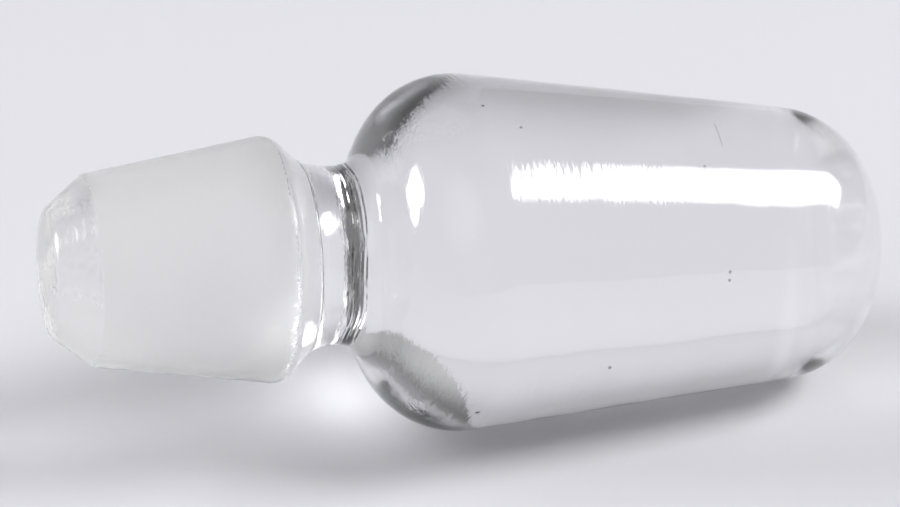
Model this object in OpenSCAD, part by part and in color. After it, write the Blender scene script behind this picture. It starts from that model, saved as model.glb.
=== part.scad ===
// Solid glass stopper with a conical head and a ground taper plug.
// It lies on its side: the head's side rests on Z = 0 along a line, with the plug end towards -X.
// Head and plug are turned forms, and each outline is drawn as radius against height from the throat of the neck.

/* [Head] */
// Diameter of the head, to the sharp corner of its shoulder
head_d = 40.9; // [36:0.1:46]
// Length of the head, from the throat of the neck to its crown
head_l = 62.6; // [50:0.1:75]
// Slope of the head's side against its axis, in degrees
head_taper = 6.3; // [3:0.1:9]
// Slope of the head's back face against its axis, in degrees
back_slope = 62; // [50:1:75]
// Rounding of the shoulder
shoulder_r = 10.6; // [4:0.1:12]
// Rounding of the edge at the head's end
end_r = 10.4; // [4:0.1:12]
// Radius of the low crown across the head's end
crown_r = 33; // [26:1:80]

/* [Neck] */
// Diameter of the neck at its throat
neck_d = 19.6; // [17:0.1:21]
// Straight stretch at the throat
throat_l = 0.4; // [0.1:0.1:3]
// Hollow between the throat and the head's back face
back_hollow_r = 3.5; // [1:0.1:6]
// Hollow between the throat and the flare that runs into the plug
flare_hollow_r = 7.7; // [2:0.1:12]
// Slope of that flare against the axis, in degrees
flare_slope = 26; // [15:1:32]

/* [Plug] */
// Diameter of the ridge where the neck's flare meets the plug's shoulder
ridge_d = 21.2; // [21:0.1:24]
// Diameter of the plug, to the sharp corner at its large end
plug_d = 27.1; // [26:0.1:32]
// Slope of the plug's shoulder against its axis, in degrees
plug_shoulder_slope = 45; // [40:1:60]
// Rounding between the plug's shoulder and its ground side
plug_edge_r = 2.4; // [0.5:0.1:3]
// Slope of the ground side against the plug's axis, in degrees
plug_taper = 9.1; // [4:0.1:11]
// Length of the ground side, from the sharp corner to the bevel
ground_l = 20.1; // [14:0.1:26]
// Length of the bevel at the tip
bevel_l = 4.4; // [2:0.1:8]
// Diameter of the tip's face
tip_d = 13.5; // [9:0.1:16]
// Radius of the low crown across the tip's face
tip_crown_r = 31.7; // [18:0.1:80]
// Lean of the plug's axis against the head's, left by grinding by hand, in degrees
plug_lean = 2.1; // [0:0.1:3]

/* [Hidden] */
$fn = 180;

glass_tint = [0.87, 0.87, 0.91];

// A rounding's circle is this much over size, so that it cuts its sides instead of only touching them
blend = 0.002;
// How far the tool of a rounding reaches past the corner that it rounds, as a factor
tool_reach = 1.3;
// How deep the plug's shoulder starts inside the neck
root_depth = 1.5;

function unit(v) = v / norm(v);
// Unit vector along a side that slopes by this angle against the axis, outwards as it goes up
function rise(slope) = [sin(slope), cos(slope)];
// Where the side through corner, in direction way, has this radius
function at_radius(corner, way, r) = corner + (r - corner.x) / way.x * way;

// Head, from the neck upwards
neck_r = neck_d / 2;
back_foot = [neck_r, throat_l / 2 + back_hollow_r * tan(back_slope / 2)];
shoulder = at_radius(back_foot, rise(back_slope), head_d / 2);
side_way = rise(-head_taper);
side_out = [cos(head_taper), sin(head_taper)];

// The edge rounding touches the side and, from inside, the crown's circle
crown_centre = [0, head_l - crown_r];
edge_from = shoulder - end_r * side_out - crown_centre;
edge_b = edge_from * side_way;
edge_c = edge_from * edge_from - (crown_r - end_r) * (crown_r - end_r);
edge_centre = crown_centre + edge_from + (sqrt(edge_b * edge_b - edge_c) - edge_b) * side_way;
edge_in = edge_centre + end_r * side_out;
edge_out = edge_centre + end_r * unit(edge_centre - crown_centre);
side_top = shoulder + (head_l - shoulder.y) / side_way.y * side_way;

// Neck below the throat: the flare runs on inside the plug as far as the plug's corner
flare_foot = [neck_r, throat_l / 2 + flare_hollow_r * tan(flare_slope / 2)];
ridge = at_radius(flare_foot, rise(flare_slope), ridge_d / 2);

// Plug, from the neck to the tip
plug_corner = at_radius(ridge, rise(plug_shoulder_slope), plug_d / 2);
plug_root = at_radius(ridge, rise(plug_shoulder_slope), neck_r - root_depth);
flare_end = flare_foot + (plug_corner.y - flare_foot.y) / cos(flare_slope) * rise(flare_slope);
bevel_start = plug_corner + ground_l * [-tan(plug_taper), 1];
tip_edge = [tip_d / 2, bevel_start.y + bevel_l];
tip_centre = [0, tip_edge.y - sqrt(tip_crown_r * tip_crown_r - tip_edge.x * tip_edge.x)];
bevel_way = unit(tip_edge - bevel_start);

// Pose: the side line touches Z = 0, and the length is centred on X = 0
lift = shoulder * side_out;
plug_rise = head_taper - plug_lean;
edge_angle = atan2(edge_out.x, edge_out.y - crown_centre.y);
end_reach = head_taper < edge_angle
    ? crown_centre.y * cos(head_taper) + crown_r
    : edge_centre * rise(head_taper) + end_r;
tip_reach = tip_centre.y * cos(plug_rise) + tip_crown_r;

// All that lies beyond the arc round centre, between its end points and the corner that it rounds
module beyond_arc(centre, start, corner, end) {
    difference() {
        polygon([for (p = [centre, start, corner, end]) centre + tool_reach * (p - centre)]);
        translate(centre)
            circle(r = norm(start - centre) + blend);
    }
}

// The same for a rounding of radius r, found from the corner and the directions in which its two sides leave it
module corner_tool(corner, way_in, way_out, r) {
    half = acos(way_in * way_out) / 2;
    centre = corner + r / sin(half) * unit(way_in + way_out);
    beyond_arc(centre, corner + r / tan(half) * way_in, corner, corner + r / tan(half) * way_out);
}

// What lies above a crown of radius r whose centre is on the axis, out to the radius that it has to cover
module above_crown(centre, r, cover) {
    difference() {
        translate([0, centre.y + sqrt(r * r - cover * cover)])
            square([cover, r]);
        translate(centre)
            circle(r = r);
    }
}

module head_outline() {
    difference() {
        union() {
            polygon([
                [0, -flare_end.y], [flare_end.x, -flare_end.y], [flare_foot.x, -flare_foot.y],
                back_foot, shoulder, side_top, [0, head_l]
            ]);
            corner_tool(back_foot, [0, -1], rise(back_slope), back_hollow_r);
            corner_tool([flare_foot.x, -flare_foot.y], [0, 1], [sin(flare_slope), -cos(flare_slope)],
                flare_hollow_r);
        }
        corner_tool(shoulder, -rise(back_slope), side_way, shoulder_r);
        beyond_arc(edge_centre, edge_in, side_top, edge_out);
        above_crown(crown_centre, crown_r, edge_centre.x + end_r);
    }
}

module plug_outline() {
    difference() {
        polygon([
            [0, plug_root.y], plug_root, plug_corner, bevel_start,
            tip_edge + bevel_l * bevel_way, [0, tip_edge.y + bevel_l]
        ]);
        corner_tool(plug_corner, -rise(plug_shoulder_slope), rise(-plug_taper), plug_edge_r);
        above_crown(tip_centre, tip_crown_r, tip_d);
    }
}

module stopper() {
    color(glass_tint)
        translate([(tip_reach - end_reach) / 2, 0, lift])
            rotate([0, 90 + head_taper, 0])
                union() {
                    rotate_extrude()
                        head_outline();
                    rotate([0, 180 - plug_lean, 0])
                        rotate_extrude()
                            plug_outline();
                }
}

stopper();
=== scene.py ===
"""Looks of a solid glass bottle stopper, lying on a pale table between two soft boxes.

The stopper is one turned piece of clear glass: a conical head, a waisted neck and a plug that is ground
dull on its side.
"""

import logging
import math
from dataclasses import dataclass, field
from enum import Enum

import bpy
import numpy as np
from mathutils import Matrix, Vector, noise


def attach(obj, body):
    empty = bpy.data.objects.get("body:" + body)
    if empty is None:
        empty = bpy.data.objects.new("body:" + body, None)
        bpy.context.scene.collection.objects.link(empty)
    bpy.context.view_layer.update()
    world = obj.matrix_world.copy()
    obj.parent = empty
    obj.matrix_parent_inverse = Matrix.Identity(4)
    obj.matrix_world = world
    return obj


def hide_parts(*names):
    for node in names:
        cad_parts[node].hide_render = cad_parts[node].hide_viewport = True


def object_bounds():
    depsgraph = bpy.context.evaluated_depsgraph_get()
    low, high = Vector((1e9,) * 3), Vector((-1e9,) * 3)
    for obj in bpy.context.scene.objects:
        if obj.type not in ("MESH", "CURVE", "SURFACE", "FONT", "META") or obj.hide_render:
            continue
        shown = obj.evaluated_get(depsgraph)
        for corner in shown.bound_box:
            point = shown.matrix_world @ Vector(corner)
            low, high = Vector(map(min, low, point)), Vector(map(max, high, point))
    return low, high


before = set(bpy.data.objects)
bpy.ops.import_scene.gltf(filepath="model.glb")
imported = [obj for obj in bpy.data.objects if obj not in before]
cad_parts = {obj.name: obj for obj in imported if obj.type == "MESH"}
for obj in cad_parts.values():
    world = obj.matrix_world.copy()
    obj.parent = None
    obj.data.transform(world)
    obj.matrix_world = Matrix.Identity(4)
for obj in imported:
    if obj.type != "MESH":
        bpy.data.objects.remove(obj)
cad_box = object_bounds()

MM = 0.001
NOISE_MIDDLE = 0.5
"""The middle of what a noise node gives."""
FIRST_BOUNCE = 0.5
"""A ray's count of diffuse bounces lies below this until it has left a matt surface."""
log = logging.getLogger("stopper")


def turned(angle: float) -> tuple[float, float]:
    """Sine and cosine of an angle in degrees: the way of a side that slopes by it against the axis."""
    return math.sin(math.radians(angle)), math.cos(math.radians(angle))


def towards(azimuth: float, elevation: float) -> Vector:
    """The way to a place of the room.

    Args:
        azimuth: degrees clockwise from +Y, seen from above.
        elevation: degrees above the table.

    Returns:
        The unit vector.
    """
    east, north = turned(azimuth)
    height, level = turned(elevation)
    return Vector((east * level, north * level, height))


def within(share: float) -> float:
    """A share, held between 0 and 1."""
    return min(1.0, max(0.0, share))


def tone(colour: tuple, share: float) -> tuple:
    """A colour made lighter or darker by a share."""
    return tuple(channel * share for channel in colour[:3]) + (1.0,)


# ------------------------------------------------------------------------------------ shader maths


class Value:
    """One output socket of a node, with arithmetic that adds Math nodes."""

    def __init__(self, sheet: "NodeSheet", socket: bpy.types.NodeSocket) -> None:
        """Wraps a socket of the sheet."""
        self.sheet = sheet
        self.socket = socket

    def _with(self, operation: str, *others: "Value | float") -> "Value":
        """This value and others through one Math node."""
        return self.sheet.math(operation, self, *others)

    def __add__(self, other: "Value | float") -> "Value":
        """Sum."""
        return self._with("ADD", other)

    def __sub__(self, other: "Value | float") -> "Value":
        """Difference."""
        return self._with("SUBTRACT", other)

    def __mul__(self, other: "Value | float") -> "Value":
        """Product."""
        return self._with("MULTIPLY", other)

    def __truediv__(self, other: "Value | float") -> "Value":
        """Quotient."""
        return self._with("DIVIDE", other)

    def __pow__(self, other: "Value | float") -> "Value":
        """Power."""
        return self._with("POWER", other)

    def __abs__(self) -> "Value":
        """Size without its sign."""
        return self._with("ABSOLUTE")

    def __lt__(self, other: "Value | float") -> "Value":
        """1 where it is the smaller, otherwise 0."""
        return self._with("LESS_THAN", other)

    def __gt__(self, other: "Value | float") -> "Value":
        """1 where it is the larger, otherwise 0."""
        return self._with("GREATER_THAN", other)

    def __radd__(self, other: float) -> "Value":
        """Sum with a number on the left."""
        return self.sheet.math("ADD", other, self)

    def __rsub__(self, other: float) -> "Value":
        """Difference from a number on the left."""
        return self.sheet.math("SUBTRACT", other, self)

    def __rmul__(self, other: float) -> "Value":
        """Product with a number on the left."""
        return self.sheet.math("MULTIPLY", other, self)

    def __rtruediv__(self, other: float) -> "Value":
        """A number on the left divided by it."""
        return self.sheet.math("DIVIDE", other, self)

    def __rpow__(self, other: float) -> "Value":
        """A number on the left raised to it."""
        return self.sheet.math("POWER", other, self)

    def ramp(self, low: float, high: float) -> "Value":
        """A smooth step between two values.

        Args:
            low: where it is still 0.
            high: where it reaches 1; it falls instead where this is the smaller of the two.

        Returns:
            The step, from 0 to 1.
        """
        if low > high:
            return 1 - self.ramp(high, low)
        settings = {"interpolation_type": "SMOOTHSTEP"}
        inputs = {"Value": self, "From Min": low, "From Max": high}
        return self.sheet.value("ShaderNodeMapRange", "Result", settings, inputs)


class NodeSheet:
    """The node tree of one material or of the world."""

    def __init__(self, tree: bpy.types.NodeTree) -> None:
        """Empties the tree and takes it over."""
        tree.nodes.clear()
        self.tree = tree

    def node(self, kind: str, settings: dict | None = None, inputs: dict | None = None) -> bpy.types.Node:
        """Adds a node.

        Args:
            kind: the node's type.
            settings: its properties, set before the sockets.
            inputs: a number, colour or link for each socket, by name or index.

        Returns:
            The new node.
        """
        made = self.tree.nodes.new(kind)
        for name, setting in (settings or {}).items():
            setattr(made, name, setting)
        for name, given in (inputs or {}).items():
            socket = made.inputs[name]
            if isinstance(given, Value):
                self.tree.links.new(given.socket, socket)
            elif isinstance(given, bpy.types.NodeSocket):
                self.tree.links.new(given, socket)
            else:
                socket.default_value = given
        return made

    def value(
        self, kind: str, output: str | int, settings: dict | None = None, inputs: dict | None = None
    ) -> Value:
        """Adds a node and returns one of its outputs.

        Args:
            kind: the node's type.
            output: the output's name or index.
            settings: as for node().
            inputs: as for node().

        Returns:
            The wrapped output.
        """
        return Value(self, self.node(kind, settings, inputs).outputs[output])

    def math(self, operation: str, *operands: Value | float) -> Value:
        """One Math node on one to three operands."""
        return self.value("ShaderNodeMath", 0, {"operation": operation}, dict(enumerate(operands)))

    def largest(self, first: Value, *others: Value) -> Value:
        """The largest of some values.

        Args:
            first: one value.
            others: the values to set against it.

        Returns:
            The largest, point by point.
        """
        for other in others:
            first = self.math("MAXIMUM", first, other)
        return first

    def mix(self, share: Value, first: "Value | tuple", second: "Value | tuple") -> Value:
        """Mixes two colours by a share."""
        inputs = {0: share, 6: first, 7: second}
        return self.value("ShaderNodeMix", 2, {"data_type": "RGBA"}, inputs)

    def stretched(self, place: Value, scale: tuple[float, float, float]) -> Value:
        """A place multiplied by a number along each axis."""
        inputs = {0: place, 1: scale}
        return self.value("ShaderNodeVectorMath", "Vector", {"operation": "MULTIPLY"}, inputs)

    def facing(self, way: Value, other: Vector) -> Value:
        """Cosine of the angle between two ways."""
        inputs = {0: way, 1: other}
        return self.value("ShaderNodeVectorMath", "Value", {"operation": "DOT_PRODUCT"}, inputs)

    def distance(self, place: Value, point: tuple[float, float, float]) -> Value:
        """How far a place is from a point."""
        inputs = {0: place, 1: point}
        return self.value("ShaderNodeVectorMath", "Value", {"operation": "DISTANCE"}, inputs)

    def noise(
        self, place: Value, per_mm: float | tuple[float, float, float], detail: float, rough: float = 0.5
    ) -> Value:
        """Noise over a place.

        Args:
            place: the coordinates, in metres.
            per_mm: how many waves a millimetre holds, all round or along each axis.
            detail: number of octaves.
            rough: weight of the finer octaves.

        Returns:
            The noise, about 0 to 1.
        """
        counts = per_mm if isinstance(per_mm, tuple) else (per_mm,) * 3
        spread = self.stretched(place, tuple(count / MM for count in counts))
        inputs = {"Vector": spread, "Scale": 1.0, "Detail": detail, "Roughness": rough}
        return self.value("ShaderNodeTexNoise", "Fac", {"noise_dimensions": "3D"}, inputs)

    def output(self, kind: str, shader: bpy.types.Node) -> None:
        """Ends the sheet with an output node that takes the shader."""
        self.node(kind, inputs={"Surface": shader.outputs[0]})


# ---------------------------------------------------------------------------------------- finishes


@dataclass(frozen=True)
class Speck:
    """A pit in the head's surface: its angle round the axis, its height above the throat and its radius."""

    angle: float
    height: float
    radius: float


@dataclass(frozen=True)
class Marks:
    """Small marks on the head. Angles are in degrees, lengths in millimetres."""

    specks: tuple = (
        Speck(-106.4, 39.8, 0.26),
        Speck(-103.4, 39.8, 0.24),
        Speck(-71.9, 27.1, 0.3),
        Speck(-158.6, 17.4, 0.26),
        Speck(-168.0, 13.9, 0.2),
        Speck(-55.5, 13.2, 0.28),
        Speck(-146.2, 37.9, 0.2),
    )
    # The colour that the pits and the scratch are painted darker towards.
    dark: tuple = (0.22, 0.21, 0.22, 1.0)
    rough: float = 0.5
    pit: float = 0.05
    pit_sharpness: float = 2
    scratch_from: float = -171
    scratch_to: float = -154
    scratch_at: float = 41.1
    scratch_slant: float = -0.02
    scratch_wide: float = 0.16
    scratch_sharpness: float = 3
    scratch_fade: float = 4
    scratch_share: float = 0.4


@dataclass(frozen=True)
class ClearGlass:
    """Fire-polished clear glass, with the faint streaks that the mould leaves round it.

    Lengths are in millimetres, and fades are distances from the throat towards the crown.
    """

    ior: float = 1.5
    tint: tuple = (0.955, 0.952, 0.962, 1.0)
    neck_roughness: float = 0.05
    plug_roughness: float = 0.10
    plug_haze_at: float = 1.5
    crown_roughness: float = 0.10
    crown_fade: tuple = (47.0, 57.0)
    neck_fade: tuple = (9.0, 17.0)
    streak_height: float = 0.019
    streaks_per_mm: float = 2.4
    streaks_round_per_mm: float = 0.5
    streak_fade: tuple = (22.0, 52.0)
    streak_rest: float = 0.2
    pebble_height: float = 0.012
    pebbles_per_mm: float = 1.4


@dataclass(frozen=True)
class GroundGlass:
    """The milky finish that grinding leaves on the plug's side, and the milkiness of its tip.

    Lengths are in millimetres, the crumbs' side and spread in degrees round the axis.
    """

    tint: tuple = (0.99, 0.99, 0.99, 1.0)
    roughness: float = 0.76
    chalk: tuple = (0.96, 0.95, 0.935, 1.0)
    chalk_roughness: float = 0.9
    chalk_share: float = 0.16
    chalk_below: float = 0.2
    milk_share: float = 0.3
    milk_per_mm: float = 0.22
    milk_none: float = 0.36
    milk_full: float = 0.72
    grain_height: float = 0.012
    grain_per_mm: float = 2.6
    cloud_per_mm: float = 0.35
    cloud: float = 0.5
    edge_past: float = 0.25
    edge_blur: float = 0.6
    edge_wander: float = 1.0
    wander_per_mm: float = 0.3
    edge_crumbs: float = 0.7
    crumbs_per_mm: float = 2.0
    crumbs_side: float = -50
    crumbs_spread: tuple = (28.0, 62.0)
    crumbs_there: float = 4.0
    end_wander: float = 0.2
    end_crumbs: float = 0.5
    run_over: float = 0.8
    run_over_none: float = 0.3
    run_over_full: float = 1.2


@dataclass(frozen=True)
class PaleCard:
    """Matt paint or card of the stage: painted shade higher up, darker where it only lights other matt
    surfaces.
    """

    colour: tuple
    fleck: float = 0.004
    flecks_per_mm: float = 0.8
    bounced: float = 0.4
    # Painted shade: the share of its colour that it keeps high up, where less light falls; the darkening runs
    # between two heights in metres.
    upper: float = 0.7
    painted_shade_from: float = 0.03
    painted_shade_to: float = 0.5


@dataclass(frozen=True)
class RoomWalls:
    """The light that comes from the room's walls and ceiling.

    They are dim overhead, paler low down and palest behind, dark and then pale again on the camera's side,
    and lit on one part of the ceiling. Places and spreads are in degrees; the low walls' and the overhead
    part's edges are cosines of the angle from their middle.
    """

    dim: tuple = (0.045, 0.045, 0.047, 1.0)
    low_dim: tuple = (0.15, 0.15, 0.155, 1.0)
    low: tuple = (0.6, 0.6, 0.615, 1.0)
    low_azimuth: float = -40
    low_elevation: float = 15
    low_none: float = -1.0
    low_full: float = 0.6
    over_azimuth: float = 30
    over_elevation: float = 60
    over_full: float = 0.9
    over_none: float = 0.55
    dark: tuple = (0.03, 0.03, 0.031, 1.0)
    dark_azimuth: float = 160
    dark_elevation: float = 4
    dark_full: float = 15
    dark_none: float = 24
    front: tuple = (0.5, 0.5, 0.515, 1.0)
    front_azimuth: float = 196
    front_elevation: float = 22
    front_full: float = 22
    front_none: float = 34
    lit: tuple = (1.5, 1.5, 1.55, 1.0)
    lit_azimuth: float = -138
    lit_elevation: float = 48
    lit_spread: float = 28


@dataclass(frozen=True)
class SoftBox:
    """A soft box as the object sees it: where it stands and how wide and high it looks, in degrees.

    Its light is even over a share of its half-width and falls away to nothing at its rounded edge.
    """

    azimuth: float
    elevation: float
    roll: float
    wide: float
    high: float
    radiance: float
    even: float = 0.65
    squareness: float = 4.0


class Lamp(Enum):
    """The soft boxes, by the side of the object that they stand on."""

    HEAD_SIDE = SoftBox(107.5, 43.0, 5.0, 28.2, 25.3, 16.5)
    PLUG_SIDE = SoftBox(-73.0, 23.5, 0.0, 25.0, 26.0, 14.5)


# ---------------------------------------------------------------------------------------- outlines


@dataclass
class Outline:
    """Half of a turned form, drawn as (radius, height) points in millimetres from one end to the other."""

    points: list = field(default_factory=list)

    def line_to(self, point: tuple[float, float], step: float) -> None:
        """Draws a straight side.

        Args:
            point: where it ends.
            step: how far apart the rings along it are.
        """
        start, end = np.array(self.points[-1]), np.array(point)
        count = max(1, math.ceil(np.linalg.norm(end - start) / step))
        self.points += [tuple(start + (end - start) * k / count) for k in range(1, count + 1)]

    def arc_to(self, centre: tuple[float, float], end: tuple[float, float], step: float) -> None:
        """Draws an arc, the short way round its centre.

        Args:
            centre: the arc's centre.
            end: where it ends.
            step: how far apart the rings along it are.
        """
        middle = np.array(centre)
        from_centre = np.array(self.points[-1]) - middle
        to_end = np.array(end) - middle
        radius = np.linalg.norm(from_centre)
        first = math.atan2(from_centre[1], from_centre[0])
        swing = (math.atan2(to_end[1], to_end[0]) - first + math.pi) % (2 * math.pi) - math.pi
        count = max(2, math.ceil(abs(swing) * radius / step))
        for k in range(1, count + 1):
            angle = first + swing * k / count
            self.points.append((middle[0] + radius * math.cos(angle), middle[1] + radius * math.sin(angle)))

    def round_corner(
        self, corner: tuple, onward: tuple, radius: float, step: float, side_step: float
    ) -> None:
        """Draws the side up to a corner and the rounding that takes its place.

        Args:
            corner: the sharp corner.
            onward: a point on the side after it.
            radius: the rounding's radius.
            step: how far apart the rings round it are.
            side_step: how far apart the rings up to it are.
        """
        at = np.array(corner)
        back = np.array(self.points[-1]) - at
        ahead = np.array(onward) - at
        back /= np.linalg.norm(back)
        ahead /= np.linalg.norm(ahead)
        half = math.acos(float(back @ ahead)) / 2
        reach = radius / math.tan(half)
        middle = (back + ahead) / np.linalg.norm(back + ahead)
        self.line_to(tuple(at + reach * back), side_step)
        self.arc_to(tuple(at + radius / math.sin(half) * middle), tuple(at + reach * ahead), step)


# ----------------------------------------------------------------------------------------- stopper


@dataclass
class Head:
    """The head, from the throat of the neck to its crown.

    Lengths are in millimetres, angles in degrees. The steps are how far apart the rings lie on each stretch.
    """

    diameter: float = 40.9
    length: float = 62.6
    taper: float = 6.3
    back_slope: float = 62
    shoulder_r: float = 10.6
    end_r: float = 10.4
    crown_r: float = 33
    hollow_step: float = 0.07
    back_step: float = 0.35
    shoulder_step: float = 0.32
    side_step: float = 0.6
    end_step: float = 0.3
    crown_step: float = 0.4

    def draw(self, neck: "Neck") -> Outline:
        """Draws the head's outline from the throat upwards.

        Args:
            neck: the neck that it grows from.

        Returns:
            The outline.
        """
        sine, cosine = turned(self.back_slope)
        half_slope = math.radians(self.back_slope / 2)
        foot = (neck.radius, neck.throat / 2 + neck.back_hollow * math.tan(half_slope))
        shoulder = (self.diameter / 2, foot[1] + (self.diameter / 2 - foot[0]) * cosine / sine)
        way = np.array((-turned(self.taper)[0], turned(self.taper)[1]))
        out = np.array((way[1], -way[0]))
        crown = np.array((0.0, self.length - self.crown_r))
        gap = np.array(shoulder) - self.end_r * out - crown
        along = gap @ way
        reach = math.sqrt(along**2 - gap @ gap + (self.crown_r - self.end_r) ** 2) - along
        edge = crown + gap + reach * way
        edge_out = edge + self.end_r * (edge - crown) / np.linalg.norm(edge - crown)
        drawn = Outline([(neck.radius, 0.0)])
        drawn.round_corner(foot, shoulder, neck.back_hollow, self.hollow_step, self.hollow_step)
        drawn.round_corner(
            shoulder, tuple(shoulder + way), self.shoulder_r, self.shoulder_step, self.back_step
        )
        drawn.line_to(tuple(edge + self.end_r * out), self.side_step)
        drawn.arc_to(tuple(edge), tuple(edge_out), self.end_step)
        drawn.arc_to(tuple(crown), (0.0, self.length), self.crown_step)
        return drawn


@dataclass
class Neck:
    """The waist between the head and the plug. Lengths are in millimetres, the flare's slope in degrees."""

    diameter: float = 19.6
    throat: float = 0.4
    back_hollow: float = 3.5
    flare_hollow: float = 7.7
    flare_slope: float = 26
    ridge_d: float = 21.2
    ridge_r: float = 1.4

    @property
    def radius(self) -> float:
        """Radius at the throat."""
        return self.diameter / 2

    @property
    def flare_foot(self) -> tuple[float, float]:
        """Where the flare would leave the throat, unrounded, by radius and distance from the throat."""
        half_slope = math.radians(self.flare_slope / 2)
        return self.radius, self.throat / 2 + self.flare_hollow * math.tan(half_slope)

    @property
    def ridge(self) -> tuple[float, float]:
        """The crease where the flare meets the plug's shoulder."""
        sine, cosine = turned(self.flare_slope)
        return self.ridge_d / 2, self.flare_foot[1] + (self.ridge_d / 2 - self.radius) * cosine / sine


@dataclass
class Plug:
    """The ground plug, from the throat to its tip, on an axis that leans a little against the head's.

    Lengths are in millimetres, angles in degrees. The steps are how far apart the rings lie on each stretch.
    """

    diameter: float = 27.1
    shoulder_slope: float = 45
    edge_r: float = 2.4
    taper: float = 9.1
    ground_length: float = 20.1
    bevel: float = 4.4
    tip_d: float = 13.5
    tip_crown_r: float = 31.7
    lean: float = 2.1
    worn_r: float = 0.6
    tip_worn_r: float = 1.6
    tip_rise: float = 0.6
    hollow_step: float = 0.08
    throat_step: float = 0.1
    ridge_step: float = 0.06
    flare_step: float = 0.15
    edge_step: float = 0.12
    shoulder_step: float = 0.25
    worn_step: float = 0.1
    ground_step: float = 0.3
    tip_step: float = 0.15
    bevel_step: float = 0.22
    crown_step: float = 0.25

    def corner(self, neck: Neck) -> tuple[float, float]:
        """The sharp corner between its shoulder and its ground side."""
        sine, cosine = turned(self.shoulder_slope)
        return self.diameter / 2, neck.ridge[1] + (self.diameter / 2 - neck.ridge[0]) * cosine / sine

    def bevel_start(self, neck: Neck) -> tuple[float, float]:
        """The edge between the ground side and the bevel."""
        radius, reach = self.corner(neck)
        return radius - self.ground_length * math.tan(math.radians(self.taper)), reach + self.ground_length

    def tip_edge(self, neck: Neck) -> tuple[float, float]:
        """The edge between the bevel and the tip's face."""
        return self.tip_d / 2, self.bevel_start(neck)[1] + self.bevel

    def draw(self, neck: Neck) -> Outline:
        """Draws the plug's outline from the throat to the tip.

        Args:
            neck: the neck that it grows from.

        Returns:
            The outline, with heights as distances from the throat.
        """
        corner, bevel_start, tip_edge = self.corner(neck), self.bevel_start(neck), self.tip_edge(neck)
        centre = (0.0, tip_edge[1] - math.sqrt(self.tip_crown_r**2 - tip_edge[0] ** 2))
        middle = (0.0, tip_edge[1] + self.tip_rise)
        drawn = Outline([(neck.radius, 0.0)])
        drawn.round_corner(
            neck.flare_foot, neck.ridge, neck.flare_hollow, self.hollow_step, self.throat_step
        )
        drawn.round_corner(neck.ridge, corner, neck.ridge_r, self.ridge_step, self.flare_step)
        drawn.round_corner(corner, bevel_start, self.edge_r, self.edge_step, self.shoulder_step)
        drawn.round_corner(bevel_start, tip_edge, self.worn_r, self.worn_step, self.ground_step)
        drawn.round_corner(tip_edge, middle, self.tip_worn_r, self.tip_step, self.bevel_step)
        drawn.arc_to(centre, (0.0, centre[1] + self.tip_crown_r), self.crown_step)
        return drawn


@dataclass(frozen=True)
class HandWork:
    """Unevenness left by pressing, tooling and use, always inwards of the true form.

    Lengths are in millimetres, the chips' side and spread in degrees round the axis. Ripples are finer waves
    on a form, given as shares of its waves' depth and as waves to each of them.
    """

    inset: float = 0.002
    calm_r: float = 3
    lump_depth: float = 0.09
    lump_size: float = 9.0
    lump_ripple: float = 0.4
    lump_ripples: float = 2.6
    ring_depth: float = 0.055
    ring_spacing: float = 0.46
    ring_at: float = 1.15
    ring_reach: float = 1.35
    ring_wobble: float = 0.25
    wobbles_per_mm: float = 0.22
    ring_mean: float = 0.6
    ring_uneven: float = 0.8
    uneven_per_mm: float = 0.5
    chip_depth: float = 0.55
    chip_size: float = 0.9
    chip_ripple: float = 0.5
    chip_ripples: float = 2.2
    chip_least: float = 0.05
    chip_reach: float = 0.9
    chip_side: float = -38
    chip_spread: float = 34

    def waves(self, point: Vector, size: float, ripple: float, ripples: float) -> float:
        """Noise of one size with ripples on it.

        Args:
            point: where, from the throat.
            size: the waves' size.
            ripple: the ripples' depth, as a share.
            ripples: how many of them a wave holds.

        Returns:
            The wave's height, about -1 to 1.
        """
        return noise.noise(point / size) + ripple * noise.noise(point * (ripples / size))

    def lumps(self, point: Vector) -> float:
        """Shallow waves all over."""
        wave = self.waves(point, self.lump_size, self.lump_ripple, self.lump_ripples)
        return self.lump_depth * within(0.5 + 0.5 * wave)

    def rings(self, point: Vector) -> float:
        """Tool marks round the neck's hollow, beside the throat.

        Args:
            point: where, from the throat.

        Returns:
            The depth.
        """
        height = point.z + self.ring_wobble * noise.noise(point * self.wobbles_per_mm)
        off = abs(height - self.ring_at) / self.ring_reach
        if off >= 1:
            return 0.0
        wave = 0.5 - 0.5 * math.cos(2 * math.pi * height / self.ring_spacing)
        uneven = self.ring_mean + self.ring_uneven * noise.noise(point * self.uneven_per_mm)
        return self.ring_depth * (1 - off**2) * wave * within(uneven)

    def chips(self, point: Vector, edges: list) -> float:
        """Small breaks on the plug's lower edges.

        Args:
            point: where, from the throat.
            edges: how far from the throat the chipped edges are.

        Returns:
            The depth.
        """
        angle = math.degrees(math.atan2(point.y, point.x)) - self.chip_side
        side = 1 - (((angle + 180) % 360 - 180) / self.chip_spread) ** 2
        near = max(1 - (abs(-point.z - edge) / self.chip_reach) ** 2 for edge in edges)
        if side <= 0 or near <= 0:
            return 0.0
        flake = self.waves(point, self.chip_size, self.chip_ripple, self.chip_ripples)
        return self.chip_depth * near * side * max(0.0, flake - self.chip_least)


@dataclass(frozen=True)
class Whereabouts:
    """Where a point of the glass lies, as values of its material's nodes."""

    place: Value
    """Along the head's own axes, in metres."""
    turn: Value
    """Angle round the axis, in degrees."""
    reach: Value
    """Distance from the throat along the plug's axis towards the tip, in millimetres."""
    height: Value
    """Height above the throat along the head's axis, in millimetres."""


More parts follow.
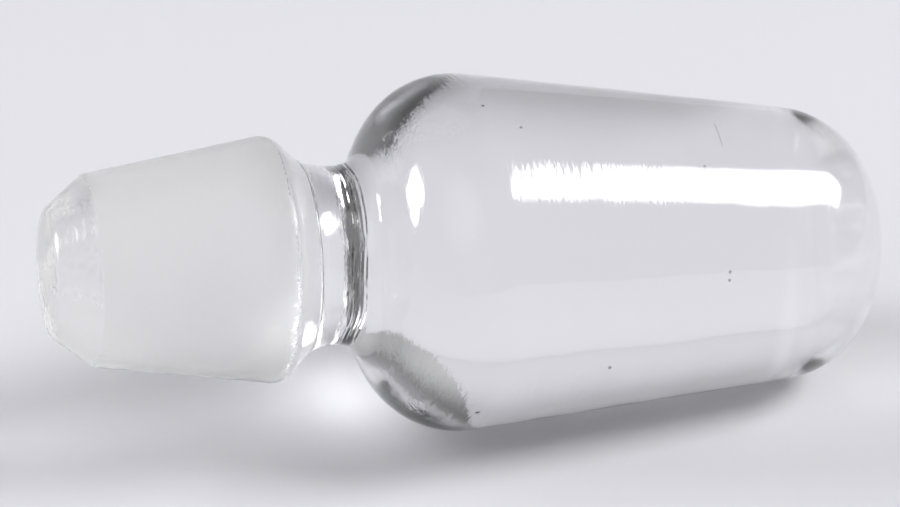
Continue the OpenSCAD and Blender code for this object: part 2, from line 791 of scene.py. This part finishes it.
@dataclass
class Stopper:
    """The whole stopper: one solid of glass, turned about the head's axis and, past the ridge, the plug's."""

    head: Head = field(default_factory=Head)
    neck: Neck = field(default_factory=Neck)
    plug: Plug = field(default_factory=Plug)
    clear: ClearGlass = field(default_factory=ClearGlass)
    ground: GroundGlass = field(default_factory=GroundGlass)
    work: HandWork = field(default_factory=HandWork)
    marks: Marks = field(default_factory=Marks)
    around: int = 216

    def lean_at(self, reach: np.ndarray) -> np.ndarray:
        """How far the axis leans, in radians, at distances from the throat towards the tip."""
        share = np.clip(reach / self.neck.ridge[1], 0, 1)
        return math.radians(self.plug.lean) * share * share * (3 - 2 * share)

    def rings(self) -> np.ndarray:
        """The rings of the whole outline.

        Returns:
            Rows of (radius, height) from the crown to the tip, with heights below the throat negative.
        """
        upper = self.head.draw(self.neck).points
        lower = self.plug.draw(self.neck).points
        return np.array(upper[::-1] + [(radius, -reach) for radius, reach in lower[1:]])

    def unevenness(self, rows: np.ndarray, angle: np.ndarray) -> np.ndarray:
        """How far the surface lies inwards of the true form.

        Args:
            rows: (radius, height) of each ring.
            angle: the angles of the points round a ring.

        Returns:
            The depth at each point, ring by ring.
        """
        edges = [self.plug.bevel_start(self.neck)[1], self.plug.tip_edge(self.neck)[1]]
        depth = np.full((len(rows), len(angle)), self.work.inset)
        calm = np.clip(rows[:, 0] / self.work.calm_r, 0, 1)
        for row, (radius, height) in enumerate(rows.tolist()):
            for k, turn in enumerate(angle.tolist()):
                point = Vector((radius * math.cos(turn), radius * math.sin(turn), height))
                cut = self.work.lumps(point) + self.work.rings(point) + self.work.chips(point, edges)
                depth[row, k] += cut * calm[row]
        return depth

    def surface(self) -> tuple[np.ndarray, list]:
        """Points and faces of the glass, in millimetres, with the throat at the origin and the crown on +Z.

        Returns:
            The points, and the faces as tuples of point numbers.
        """
        rows = self.rings()
        ways = np.gradient(rows, axis=0)
        ways /= np.linalg.norm(ways, axis=1)[:, None]
        ends, rows, ways = rows[[0, -1]], rows[1:-1], ways[1:-1]
        ends += [(0, -self.work.inset), (0, self.work.inset)]
        angle = np.arange(self.around) * (2 * math.pi / self.around)
        depth = self.unevenness(rows, angle)
        lean = self.lean_at(-rows[:, 1:])
        radius = rows[:, :1] + depth * ways[:, 1:]
        height = rows[:, 1:] - depth * ways[:, :1]
        along = radius * np.cos(angle) * np.cos(lean) - height * np.sin(lean)
        up = radius * np.cos(angle) * np.sin(lean) + height * np.cos(lean)
        across = radius * np.sin(angle)
        points = np.stack((along, across, up), axis=-1).reshape(-1, 3)
        tip_lean = math.radians(self.plug.lean)
        tip = (-ends[1][1] * math.sin(tip_lean), 0.0, ends[1][1] * math.cos(tip_lean))
        points = np.vstack((points, (0.0, 0.0, ends[0][1]), tip))
        crown_point, tip_point = len(points) - 2, len(points) - 1
        last = (len(rows) - 1) * self.around
        faces = []
        for k in range(self.around):
            after = (k + 1) % self.around
            faces.append((crown_point, k, after))
            faces.append((tip_point, last + after, last + k))
            for first in range(0, last, self.around):
                below = first + self.around
                faces.append((first + k, below + k, below + after, first + after))
        return points, faces

    def build(self) -> bpy.types.Object:
        """Builds the glass as it lies: its head's side touches the table along a line.

        Returns:
            The new object.
        """
        points, faces = self.surface()
        mesh = bpy.data.meshes.new("stopper_glass")
        mesh.from_pydata((points * MM).tolist(), [], faces)
        mesh.transform(self.pose())
        mesh.shade_smooth()
        mesh.validate()
        glass = bpy.data.objects.new("stopper_glass", mesh)
        bpy.context.collection.objects.link(glass)
        mesh.materials.append(self.dress())
        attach(glass, "root")
        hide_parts("stopper")
        log.info("stopper_glass: %d points, %d faces", len(points), len(faces))
        return glass

    def pose(self) -> Matrix:
        """Where the throat lies and how the head's axis points, from the frame's own box.

        Returns:
            The matrix from the stopper's own axes, in metres, to the frame.
        """
        low, high = cad_box
        shoulder = self.head.draw(self.neck)
        sine, cosine = turned(self.head.taper)
        lift = max(radius * cosine + height * sine for radius, height in shoulder.points)
        reach = max(radius * sine + height * cosine for radius, height in shoulder.points)
        throat = Vector((high.x - reach * MM, (low.y + high.y) / 2, lift * MM))
        return Matrix.Translation(throat) @ Matrix.Rotation(math.radians(90 + self.head.taper), 4, "Y")

    def whereabouts(self, sheet: NodeSheet) -> Whereabouts:
        """Finds where each point lies on the stopper itself.

        Args:
            sheet: the material's nodes.

        Returns:
            The point's place, angle, reach and height.
        """
        pose = self.pose()
        lying = {
            "Vector": sheet.value("ShaderNodeTexCoord", "Object"),
            "Location": pose.translation,
            "Rotation": pose.to_euler(),
        }
        place = sheet.value("ShaderNodeMapping", "Vector", {"vector_type": "TEXTURE"}, lying)
        apart = sheet.node("ShaderNodeSeparateXYZ", inputs={0: place})
        x, y, z = (Value(sheet, apart.outputs[name]) for name in "XYZ")
        turn = sheet.math("ARCTAN2", y, x) * (180 / math.pi)
        sine, cosine = turned(self.plug.lean)
        return Whereabouts(place, turn, (x * sine - z * cosine) / MM, z / MM)

    def grind(self, sheet: NodeSheet, at: Whereabouts) -> tuple[Value, Value]:
        """Where the plug is ground dull: a band with ragged edges, which runs over the bevel lower down.

        Args:
            sheet: the material's nodes.
            at: where each point lies.

        Returns:
            The dull band's mask, and the mask of the plug's lower side.
        """
        ground = self.ground
        near, far = ground.crumbs_spread
        below = abs(at.turn - ground.crumbs_side).ramp(far, near)
        wander = (sheet.noise(at.place, ground.wander_per_mm, detail=2) - NOISE_MIDDLE) * ground.edge_wander
        crumbs = sheet.noise(at.place, ground.crumbs_per_mm, detail=3, rough=0.6) - NOISE_MIDDLE
        crumbs = crumbs * ground.edge_crumbs
        edge = self.plug.corner(self.neck)[1] + ground.edge_past
        stop = self.plug.bevel_start(self.neck)[1]
        tip = self.plug.tip_edge(self.neck)[1]
        blur = ground.edge_blur
        ragged = at.reach + wander + crumbs * (below * ground.crumbs_there + 1)
        begins = ragged.ramp(edge - blur, edge + blur)
        neat = at.reach + wander * ground.end_wander + crumbs * ground.end_crumbs
        ends = neat.ramp(stop + blur, stop - blur)
        over = (crumbs + wander + below).ramp(ground.run_over_none, ground.run_over_full) * ground.run_over
        over = over * at.reach.ramp(stop - blur, stop) * at.reach.ramp(tip + blur, tip)
        return sheet.largest(begins * ends, over), below

    def relief(self, sheet: NodeSheet, at: Whereabouts, dull: Value, soft: Value, pits: Value) -> Value:
        """The fine unevenness of the surface: grain, the mould's streaks, pebbling and pits.

        Args:
            sheet: the material's nodes.
            at: where each point lies.
            dull: where it is ground.
            soft: where it is pebbled, round the neck.
            pits: where the pits are.

        Returns:
            The height, in millimetres.
        """
        clear, ground = self.clear, self.ground
        grain = sheet.noise(at.place, ground.grain_per_mm, detail=3, rough=0.6)
        round_it, along = clear.streaks_round_per_mm, clear.streaks_per_mm
        streaks = sheet.noise(at.place, (round_it, round_it, along), detail=2)
        full, none = clear.streak_fade
        strong = (at.reach * -1).ramp(none, full) * (1 - clear.streak_rest) + clear.streak_rest
        pebbles = sheet.noise(at.place, clear.pebbles_per_mm, detail=1) * soft
        height = grain * dull * ground.grain_height + streaks * strong * clear.streak_height
        return height + pebbles * clear.pebble_height - pits * self.marks.pit

    def haze(self, sheet: NodeSheet, at: Whereabouts, dull: Value, soft: Value, darkened_marks: Value) -> Value:
        """How rough the surface is.

        Args:
            sheet: the material's nodes.
            at: where each point lies.
            dull: where it is ground.
            soft: where it is a little hazy, round the neck and past it.
            darkened_marks: where the pits and the scratch are painted darker.

        Returns:
            The roughness.
        """
        clear = self.clear
        past_neck = at.reach.ramp(0.0, clear.plug_haze_at)
        hazy = past_neck * (clear.plug_roughness - clear.neck_roughness) + clear.neck_roughness
        none, full = clear.crown_fade
        crown = (at.reach * -1).ramp(none, full) * clear.crown_roughness
        return sheet.largest(dull * self.ground.roughness, soft * hazy, darkened_marks * self.marks.rough, crown)

    def milkiness(self, sheet: NodeSheet, at: Whereabouts, dull: Value, below: Value) -> Value:
        """How much of the surface is chalky instead of clear.

        Args:
            sheet: the material's nodes.
            at: where each point lies.
            dull: where it is ground.
            below: the plug's lower side.

        Returns:
            The chalk's share.
        """
        ground = self.ground
        cloud = sheet.noise(at.place, ground.cloud_per_mm, detail=4) * (2 * ground.cloud) + (1 - ground.cloud)
        chalky = dull * cloud * (1 - below * (1 - ground.chalk_below)) * ground.chalk_share
        milk = sheet.noise(at.place, ground.milk_per_mm, detail=3).ramp(ground.milk_none, ground.milk_full)
        stop, blur = self.plug.bevel_start(self.neck)[1], ground.edge_blur
        return sheet.largest(chalky, at.reach.ramp(stop - blur, stop + blur) * milk * ground.milk_share)

    def dress(self) -> bpy.types.Material:
        """Clear glass, ground dull between the plug's shoulder and its bevel.

        Returns:
            The material.
        """
        material = bpy.data.materials.new("stopper_glass")
        material.use_nodes = True
        sheet = NodeSheet(material.node_tree)
        at = self.whereabouts(sheet)
        dull, below = self.grind(sheet, at)
        full, none = self.clear.neck_fade
        soft = (at.reach * -1).ramp(none, full)
        pits, scratch = self.mark(sheet, at)
        # The pits and the scratch are painted darker and made rougher.
        darkened_marks = sheet.largest(pits, scratch * self.marks.scratch_share)
        colour = sheet.mix(dull, self.clear.tint, self.ground.tint)
        bump = {"Strength": 1.0, "Distance": MM, "Height": self.relief(sheet, at, dull, soft, pits)}
        glass = sheet.node(
            "ShaderNodeBsdfPrincipled",
            inputs={
                "Base Color": sheet.mix(darkened_marks, colour, self.marks.dark),
                "Roughness": self.haze(sheet, at, dull, soft, darkened_marks),
                "IOR": self.clear.ior,
                "Transmission Weight": 1.0,
                "Normal": sheet.value("ShaderNodeBump", "Normal", inputs=bump),
            },
        )
        powder = {"Base Color": self.ground.chalk, "Roughness": self.ground.chalk_roughness}
        chalk = sheet.node("ShaderNodeBsdfPrincipled", inputs=powder)
        shares = {0: self.milkiness(sheet, at, dull, below), 1: glass.outputs[0], 2: chalk.outputs[0]}
        sheet.output("ShaderNodeOutputMaterial", sheet.node("ShaderNodeMixShader", inputs=shares))
        return material

    def mark(self, sheet: NodeSheet, at: Whereabouts) -> tuple[Value, Value]:
        """Where the head's pits and its scratch are.

        Args:
            sheet: the material's nodes.
            at: where each point lies.

        Returns:
            The pits' mask and the scratch's mask.
        """
        marks = self.marks
        outline = np.array(self.head.draw(self.neck).points)
        pits = []
        for speck in marks.specks:
            sine, cosine = turned(speck.angle)
            radius = float(np.interp(speck.height, outline[:, 1], outline[:, 0])) * MM
            gap = sheet.distance(at.place, (radius * cosine, radius * sine, speck.height * MM))
            pits.append(gap.ramp(speck.radius * MM, speck.radius * MM / marks.pit_sharpness))
        start, end, fade = marks.scratch_from, marks.scratch_to, marks.scratch_fade
        line = at.height - at.turn * marks.scratch_slant - (marks.scratch_at - marks.scratch_slant * start)
        line = abs(line).ramp(marks.scratch_wide, marks.scratch_wide / marks.scratch_sharpness)
        ends = at.turn.ramp(start, start + fade) * at.turn.ramp(end, end - fade)
        return sheet.largest(*pits), line * ends


# ------------------------------------------------------------------------------------------- stage


@dataclass
class Studio:
    """The table with its backdrop, the room, the soft boxes and the camera. Lengths are in metres."""

    pale: tuple = (0.755, 0.755, 0.795, 1.0)
    table: PaleCard = PaleCard((0.73, 0.729, 0.763, 1.0))
    walls: RoomWalls = RoomWalls()
    table_half: float = 1.6
    backdrop_at: float = 0.85
    backdrop_left: float = -1.4
    backdrop_right: float = 0.4
    backdrop_top: float = 0.9
    sweep_r: float = 0.4
    sweep_steps: int = 24
    room_r: float = 2.6
    room_rings: int = 12
    room_spokes: int = 24
    room_sunk: float = 0.05
    fill: tuple = (0.06, 0.06, 0.0618, 1.0)
    lamp_distance: float = 1.5
    lens: float = 120
    sensor: float = 36
    camera_azimuth: float = -15.9
    camera_elevation: float = 27.244
    camera_distance: float = 0.3258
    camera_aside: float = 0.01297
    camera_above: float = 0.00021
    camera_nearest: float = 0.01

    def card(self, name: str, rows: list, material: bpy.types.Material) -> bpy.types.Object:
        """Adds a flat or bent sheet of the stage.

        Args:
            name: its name.
            rows: its points, row by row.
            material: its paint.

        Returns:
            The new object.
        """
        mesh = bpy.data.meshes.new(name)
        wide = len(rows[0])
        corners = [corner for row in rows for corner in row]
        firsts = [row * wide + k for row in range(len(rows) - 1) for k in range(wide - 1)]
        mesh.from_pydata(corners, [], [(k, k + 1, k + wide + 1, k + wide) for k in firsts])
        mesh.shade_smooth()
        sheet_object = bpy.data.objects.new(name, mesh)
        bpy.context.collection.objects.link(sheet_object)
        mesh.materials.append(material)
        log.info("%s: stage", name)
        return sheet_object

    def paint(self, name: str, finish: PaleCard) -> bpy.types.Material:
        """A matt paint with a faint fleck and painted shade higher up.

        Args:
            name: the material's name.
            finish: its colours.

        Returns:
            The material.
        """
        material = bpy.data.materials.new(name)
        material.use_nodes = True
        sheet = NodeSheet(material.node_tree)
        place = sheet.value("ShaderNodeTexCoord", "Object")
        light = tuple(channel + finish.fleck for channel in finish.colour[:3]) + (1.0,)
        colour = sheet.mix(sheet.noise(place, finish.flecks_per_mm, detail=2), finish.colour, light)
        # Painted shade: the colour darkens with height, as if less light reached the card higher up.
        height = sheet.value("ShaderNodeSeparateXYZ", "Z", inputs={0: place})
        upper = height.ramp(finish.painted_shade_from, finish.painted_shade_to)
        colour = sheet.mix(upper, colour, tone(finish.colour, finish.upper))
        bounces = sheet.value("ShaderNodeLightPath", "Diffuse Depth")
        colour = sheet.mix(bounces > FIRST_BOUNCE, colour, tone(finish.colour, finish.bounced))
        matt = sheet.node("ShaderNodeBsdfDiffuse", inputs={"Color": colour})
        sheet.output("ShaderNodeOutputMaterial", matt)
        return material

    def build_table(self) -> None:
        """The table, whose paper sweeps up behind the stopper as a backdrop."""
        half, left, right = self.table_half, self.backdrop_left, self.backdrop_right
        foot = self.backdrop_at - self.sweep_r
        bend = [turned(90 * k / self.sweep_steps) for k in range(self.sweep_steps + 1)]
        swept = [(foot + self.sweep_r * low, self.sweep_r * (1 - high)) for low, high in bend]
        swept.append((self.backdrop_at, self.backdrop_top))
        paint = self.paint("table", self.table)
        across = (-half, left, right, half)
        self.card("table", [[(x, y, 0) for x in across] for y in (-half, foot)], paint)
        self.card("table_left", [[(-half, y, 0), (left, y, 0)] for y in (foot, half)], paint)
        self.card("table_right", [[(right, y, 0), (half, y, 0)] for y in (foot, half)], paint)
        self.card("backdrop", [[(left, y, z), (right, y, z)] for y, z in swept], paint)

    def build_room(self) -> None:
        """The room round the stage, which only the glass and the shadows see."""
        rings, spokes = self.room_rings, self.room_spokes
        rows = []
        for ring in range(rings + 1):
            ways = [towards(360 * k / spokes, 90 * ring / rings) for k in range(spokes + 1)]
            rows.append([way * self.room_r - Vector((0, 0, self.room_sunk)) for way in ways])
        room = self.card("room", rows, self.light_walls())
        room.visible_camera = False

    def light_walls(self) -> bpy.types.Material:
        """The walls' own soft light.

        Returns:
            The material.
        """
        material = bpy.data.materials.new("room")
        material.use_nodes = True
        sheet = NodeSheet(material.node_tree)
        walls = self.walls
        place = sheet.value("ShaderNodeTexCoord", "Object")
        way = sheet.value("ShaderNodeVectorMath", "Vector", {"operation": "NORMALIZE"}, {0: place})
        low = sheet.facing(way, towards(walls.low_azimuth, walls.low_elevation))
        colour = sheet.mix(low.ramp(walls.low_none, walls.low_full), walls.low_dim, walls.low)
        over = sheet.facing(way, towards(walls.over_azimuth, walls.over_elevation))
        colour = sheet.mix(over.ramp(walls.over_none, walls.over_full), colour, walls.dim)
        rays = sheet.node("ShaderNodeLightPath")
        through = Value(sheet, rays.outputs["Is Transmission Ray"])
        through = through * (Value(sheet, rays.outputs["Diffuse Depth"]) < FIRST_BOUNCE)
        front = sheet.facing(way, towards(walls.front_azimuth, walls.front_elevation))
        front = front.ramp(turned(walls.front_none)[1], turned(walls.front_full)[1])
        colour = sheet.mix(front * through, colour, walls.front)
        dark = sheet.facing(way, towards(walls.dark_azimuth, walls.dark_elevation))
        dark = dark.ramp(turned(walls.dark_none)[1], turned(walls.dark_full)[1])
        colour = sheet.mix(dark, colour, walls.dark)
        lit = sheet.facing(way, towards(walls.lit_azimuth, walls.lit_elevation))
        colour = sheet.mix(lit.ramp(turned(walls.lit_spread)[1], 1.0), colour, walls.lit)
        sheet.output("ShaderNodeOutputMaterial", sheet.node("ShaderNodeEmission", inputs={"Color": colour}))
        return material

    def build_surroundings(self) -> None:
        """The room's plain light, which is also the pale background behind the table."""
        world = bpy.data.worlds.new("room")
        bpy.context.scene.world = world
        world.use_nodes = True
        sheet = NodeSheet(world.node_tree)
        rays = sheet.node("ShaderNodeLightPath")
        names = ("Is Camera Ray", "Is Glossy Ray", "Is Transmission Ray")
        seen = sheet.largest(*(Value(sheet, rays.outputs[name]) for name in names))
        light = {"Color": sheet.mix(seen, self.fill, self.pale), "Strength": 1.0}
        sheet.output("ShaderNodeOutputWorld", sheet.node("ShaderNodeBackground", inputs=light))

    def build_lamp(self, lamp: Lamp) -> None:
        """Adds one soft box, square to the object.

        Args:
            lamp: which one.
        """
        box = lamp.value
        way = towards(box.azimuth, box.elevation)
        data = bpy.data.lights.new(lamp.name.lower(), "AREA")
        data.shape = "RECTANGLE"
        data.size = 2 * self.lamp_distance * math.tan(math.radians(box.wide / 2))
        data.size_y = 2 * self.lamp_distance * math.tan(math.radians(box.high / 2))
        data.energy = box.radiance * math.pi * data.size * data.size_y
        hung = bpy.data.objects.new(data.name, data)
        bpy.context.collection.objects.link(hung)
        roll = Matrix.Rotation(math.radians(box.roll), 3, "Z").to_quaternion()
        hung.rotation_mode = "QUATERNION"
        hung.rotation_quaternion = way.to_track_quat("Z", "Y") @ roll
        hung.location = way * self.lamp_distance
        self.soften(data, hung, box)
        log.info("%s: soft box", data.name)

    def soften(self, data: bpy.types.Light, hung: bpy.types.Object, box: SoftBox) -> None:
        """Lets a soft box's light fall away towards its edges.

        Args:
            data: the lamp.
            hung: its object, already in place.
            box: how it is lit.
        """
        data.use_nodes = True
        sheet = NodeSheet(data.node_tree)
        place = sheet.value("ShaderNodeNewGeometry", "Position")
        turn = hung.rotation_quaternion
        offs = []
        for side, size in ((Vector((1, 0, 0)), data.size), (Vector((0, 1, 0)), data.size_y)):
            way = turn @ side
            off = abs((sheet.facing(place, way) - way.dot(hung.location)) * (2 / size))
            offs.append(off**box.squareness)
        off = (offs[0] + offs[1]) ** (1 / box.squareness)
        glow = sheet.node("ShaderNodeEmission", inputs={"Strength": off.ramp(1.0, box.even)})
        sheet.output("ShaderNodeOutputLight", glow)

    def build_camera(self, throat: Vector) -> None:
        """Adds the camera.

        Args:
            throat: the middle of the stopper's neck, which it is set out from.
        """
        turn = Matrix.Rotation(math.radians(self.camera_azimuth), 3, "Z")
        tip = Matrix.Rotation(math.radians(90 - self.camera_elevation), 3, "X")
        axes = turn @ tip
        data = bpy.data.cameras.new("camera")
        data.lens = self.lens
        data.sensor_width = self.sensor
        data.clip_start = self.camera_nearest
        camera = bpy.data.objects.new("camera", data)
        bpy.context.collection.objects.link(camera)
        offset = axes @ Vector((self.camera_aside, self.camera_above, self.camera_distance))
        camera.matrix_world = Matrix.Translation(throat + offset) @ axes.to_4x4()
        bpy.context.scene.camera = camera

    def build(self, throat: Vector) -> None:
        """Builds the whole stage round the stopper.

        Args:
            throat: the middle of its neck.
        """
        self.build_camera(throat)
        self.build_table()
        self.build_room()
        self.build_surroundings()
        for lamp in Lamp:
            self.build_lamp(lamp)
        bpy.context.scene.view_settings.view_transform = "Standard"


def main() -> None:
    """Builds the stopper and its stage."""
    logging.basicConfig(level=logging.INFO, format="%(name)s: %(message)s")
    stopper = Stopper()
    Studio().build(stopper.pose().translation)
    stopper.build()


if __name__ == "__main__":
    main()
